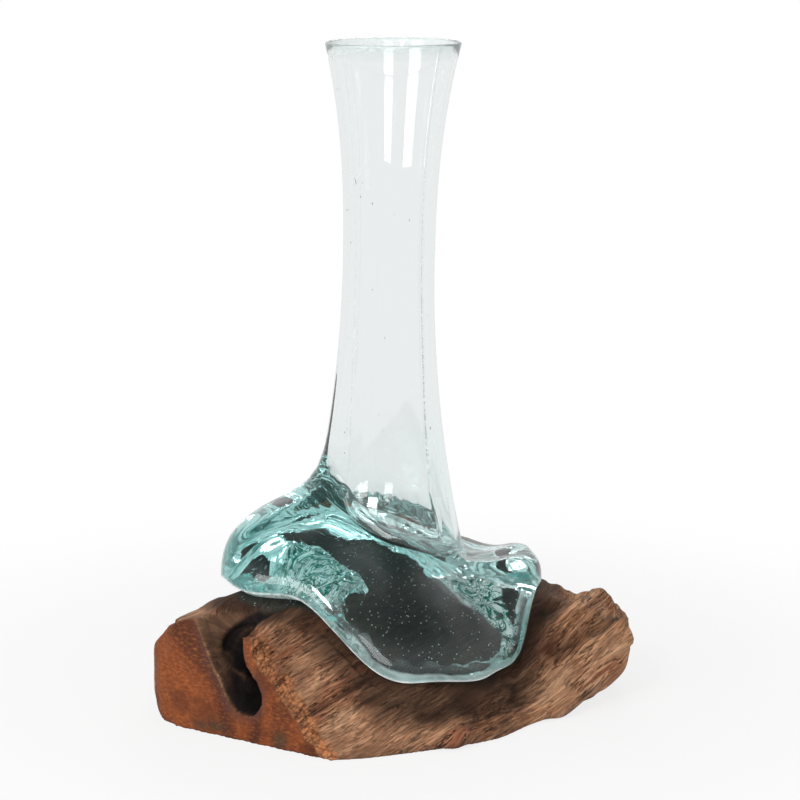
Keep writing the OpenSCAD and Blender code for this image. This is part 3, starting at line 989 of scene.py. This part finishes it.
def seedTree():
    tree = bpy.data.node_groups.new("seedBubbles", "GeometryNodeTree")
    face = tree.interface
    face.new_socket("Geometry", in_out="OUTPUT", socket_type="NodeSocketGeometry")
    for name, kind in (("Geometry", "Geometry"), ("Density", "Float"), ("Smallest", "Float"),
                       ("Largest", "Float"), ("Stretch", "Float"), ("Seed", "Int"), ("Glass", "Material")):
        face.new_socket(name, in_out="INPUT", socket_type="NodeSocket" + kind)
    book = NodeBook(tree)

    def chance(low, high, seed):
        sockets = {2: low, 3: high, "Seed": seed}
        return book.node("FunctionNodeRandomValue", {"data_type": "FLOAT"}, sockets, 1)

    start = tree.nodes.new("NodeGroupInput")
    given = {s.name: Wire(book, s) for s in start.outputs if s.name}
    points = book.node("GeometryNodeDistributePointsOnFaces", None,
                       {"Mesh": given["Geometry"], "Density": given["Density"], "Seed": given["Seed"]})
    room = book.node("GeometryNodeInputNamedAttribute", {"data_type": "FLOAT"}, {"Name": "room"})
    height = chance(0.0, 1.0, given["Seed"])
    rise = book.node("ShaderNodeCombineXYZ", None, {"Z": height * height * room})
    points = book.node("GeometryNodeSetPosition", None, {"Geometry": points, "Offset": rise})
    ball = book.node("GeometryNodeMeshIcoSphere", None, {"Radius": 1.0, "Subdivisions": 1})
    ball = book.node("GeometryNodeFlipFaces", None, {"Mesh": ball})
    size = chance(given["Smallest"], given["Largest"], 11)
    scale = book.node("ShaderNodeCombineXYZ", None, {"X": size, "Y": size, "Z": size * given["Stretch"]})
    placed = book.node("GeometryNodeInstanceOnPoints", None, {
        "Points": points, "Instance": ball, "Scale": scale})
    real = book.node("GeometryNodeRealizeInstances", None, {"Geometry": placed})
    smooth = book.node("GeometryNodeSetShadeSmooth", None, {"Geometry": real})
    done = book.node("GeometryNodeSetMaterial", None, {"Geometry": smooth, "Material": given["Glass"]})
    end = tree.nodes.new("NodeGroupOutput")
    tree.links.new(done.socket, end.inputs[0])
    return tree


def growSeeds(name, sheet, tree, values):
    modifier = sheet.modifiers.new("seeds", "NODES")
    modifier.node_group = tree
    for item in tree.interface.items_tree:
        if item.in_out == "INPUT" and item.name in values:
            modifier[item.identifier] = values[item.name]
    mesh = evaluated(sheet)
    mesh.name = name
    bpy.data.objects.remove(sheet)
    mesh.attributes.remove(mesh.attributes["room"])
    print(name + ":", len(mesh.polygons), "faces")
    return linked(name, mesh)


def gridFaces(rings, around):
    ids = np.arange(rings * around).reshape(rings, around)
    turned = np.roll(ids, -1, axis=1)
    return np.stack([ids[:-1], ids[1:], turned[1:], turned[:-1]], -1).reshape(-1, 4).tolist()


def makeLongSeed(material):  # one drawn-out bubble in the front of the neck
    s, sides = seeds, 10
    around = np.arange(sides) * 360 / sides
    rings = []
    for turn in np.linspace(0.4, 2.74, 8):
        rings.append(polar(around, s.longRadius * math.sin(turn), s.longHalf * math.cos(turn)))
    points = np.concatenate([[[0, 0, s.longHalf]], *rings, [[0, 0, -s.longHalf]]])
    points[:, 0] -= s.longLean * points[:, 2]
    thing = makeMesh("longSeed", points + s.longPlace, ringFaces(len(rings), sides))
    thing.data.materials.append(material)
    return thing


def seedSheet(name, rings, room):  # the surface that seeds start from, and how far each may rise
    around = seeds.around
    sheet = makeMesh(name, np.concatenate(rings), gridFaces(len(rings), around))
    store(sheet.data, "room", np.repeat(room, around) * mm)
    return sheet, sum(p.area for p in sheet.data.polygons)


def makeSeeds(material):
    s = seeds
    tree = seedTree()
    az = np.arange(s.around) * 360 / s.around
    shares = np.linspace(0.05, 0.93, 20)
    rings = []
    for share in shares:
        r = glassReach(az) * share
        rings.append(polar(az, r, glassUnder(az, r) + s.footRise))
    sheet, area = seedSheet("footSheet", rings, s.footRoom * (1 - shares) + 1)
    foot = growSeeds("footSeeds", sheet, tree, {
        "Density": s.footCount / area, "Smallest": s.footLow * mm, "Largest": s.footHigh * mm,
        "Stretch": 1.0, "Seed": s.seed, "Glass": material})
    heights = np.linspace(112, 292, 40)
    rings = [polar(az, neckRadius(z) - glass.wall / 2, z, neckLean(z)) for z in heights]
    sheet, area = seedSheet("neckSheet", rings, heights * 0)
    neck = growSeeds("neckSeeds", sheet, tree, {
        "Density": s.neckCount / area, "Smallest": s.neckLow * mm, "Largest": s.neckHigh * mm,
        "Stretch": s.stretch, "Seed": s.seed + 1, "Glass": material})
    return foot, neck


# The pieces, what they move with and what they replace

glassMaterial = makeGlassMaterial()
vaseGlass, glassPoints, glassKind = makeGlass()
shapeGlass(vaseGlass, glassPoints, glassKind)
vaseGlass.data.materials.append(glassMaterial)
print("glass:", len(vaseGlass.data.polygons), "faces")
footSeeds, neckSeeds = makeSeeds(glassMaterial)
longSeed = makeLongSeed(glassMaterial)
rootBlock = makeRoot()

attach(vaseGlass, "vase")
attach(footSeeds, "vase")
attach(neckSeeds, "vase")
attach(longSeed, "vase")
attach(rootBlock, "root_block")
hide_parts("glass_vase")
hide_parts("teak_root")


# Floor, backdrop, lights and camera

studio = SimpleNamespace(
    ambient=0.46, horizon=0.86, ceiling=0.26, ceilingFrom=0.5, ceilingTo=0.9,
    floorGlow=0.8, floorColour=0.8, floorNear=0.13, floorFar=0.36, floorHalf=3000,
    lampCentre=0.1,
    lamps=[  # name, azimuth, elevation, distance, width, height, watts
        ("frontBox", -81, 17, 1.7, 0.52, 0.62, 4.2),
        ("leftBox", -136, 17, 1.6, 0.62, 0.58, 5.8),
        ("keyLamp", -112, 33, 1.6, 0.42, 0.30, 9.0),
        ("backBox", 88, 32, 1.8, 0.85, 0.5, 6.5),
    ],
)


def rayKinds(book):  # camera rays, and rays that were mirrored or went through glass
    path = book.tree.nodes.new("ShaderNodeLightPath")
    camera, mirrored, through = [Wire(book, path.outputs[name]) for name in (
        "Is Camera Ray", "Is Glossy Ray", "Is Transmission Ray")]
    return camera, mirrored.sum("MAXIMUM", mirrored, through)


def makeStudio():
    s = studio
    world = bpy.data.worlds.new("studio")
    bpy.context.scene.world = world
    world.use_nodes = True
    world.node_tree.nodes.clear()
    book = NodeBook(world.node_tree)
    camera, mirrored = rayKinds(book)
    way = book.node("ShaderNodeSeparateXYZ", None, {0: book.node("ShaderNodeTexCoord")}, 2)
    overhead = way.ramp(s.ceilingFrom, s.ceilingTo)
    dome = s.horizon + (s.ceiling - s.horizon) * overhead
    light = s.ambient + (dome - s.ambient) * mirrored
    level = light + (1 - light) * camera
    sky = book.node("ShaderNodeBackground", None, {"Color": (1, 1, 1, 1), "Strength": level})
    out = book.tree.nodes.new("ShaderNodeOutputWorld")
    book.tree.links.new(sky.socket, out.inputs["Surface"])

    half = s.floorHalf
    corners = [(-half, -half, 0), (half, -half, 0), (half, half, 0), (-half, half, 0)]
    floor = makeMesh("floor", corners, [(0, 1, 2, 3)], False)
    material, book = newMaterial("paleFloor")
    level = s.floorColour
    diffuse = book.node("ShaderNodeBsdfDiffuse", None, {"Color": (level, level, level, 1)})
    camera, mirrored = rayKinds(book)
    glow = book.node("ShaderNodeEmission", None, {
        "Color": (1, 1, 1, 1), "Strength": s.horizon + (1 - s.horizon) * camera})
    away = book.node("ShaderNodeVectorMath", {"operation": "LENGTH"}, {0: book.place()}, 1)
    past = away.ramp(s.floorNear, s.floorFar)
    share = s.floorGlow + (1 - s.floorGlow) * past
    shown = camera.sum("MAXIMUM", camera, mirrored)
    both = book.node("ShaderNodeMixShader", None, {0: shown * share, 1: diffuse, 2: glow})
    finishMaterial(book, both)
    floor.data.materials.append(material)

    for name, az, high, far, width, height, watts in s.lamps:
        lamp = bpy.data.lights.new(name, "AREA")
        lamp.shape, lamp.size, lamp.size_y, lamp.energy = "RECTANGLE", width, height, watts
        thing = linked(name, lamp)
        flat = far * cosd(high)
        thing.location = (flat * cosd(az), flat * sind(az), s.lampCentre + far * sind(high))
        thing.rotation_euler = (math.radians(90 - high), 0, math.radians(az + 90))


makeStudio()

view = SimpleNamespace(lens=112.5, sensor=36, place=(0.0057, -1.133, 0.371), tilt=78.25)
camera = bpy.data.cameras.new("camera")
camera.lens, camera.sensor_width = view.lens, view.sensor
eye = linked("camera", camera)
eye.location = view.place
eye.rotation_euler = (math.radians(view.tilt), 0, 0)
bpy.context.scene.camera = eye

scene = bpy.context.scene
scene.view_settings.view_transform = "Standard"
scene.cycles.max_bounces = 20
scene.cycles.transmission_bounces = 18
scene.cycles.glossy_bounces = 8
scene.cycles.diffuse_bounces = 4
scene.cycles.transparent_max_bounces = 8

print("scene ready")
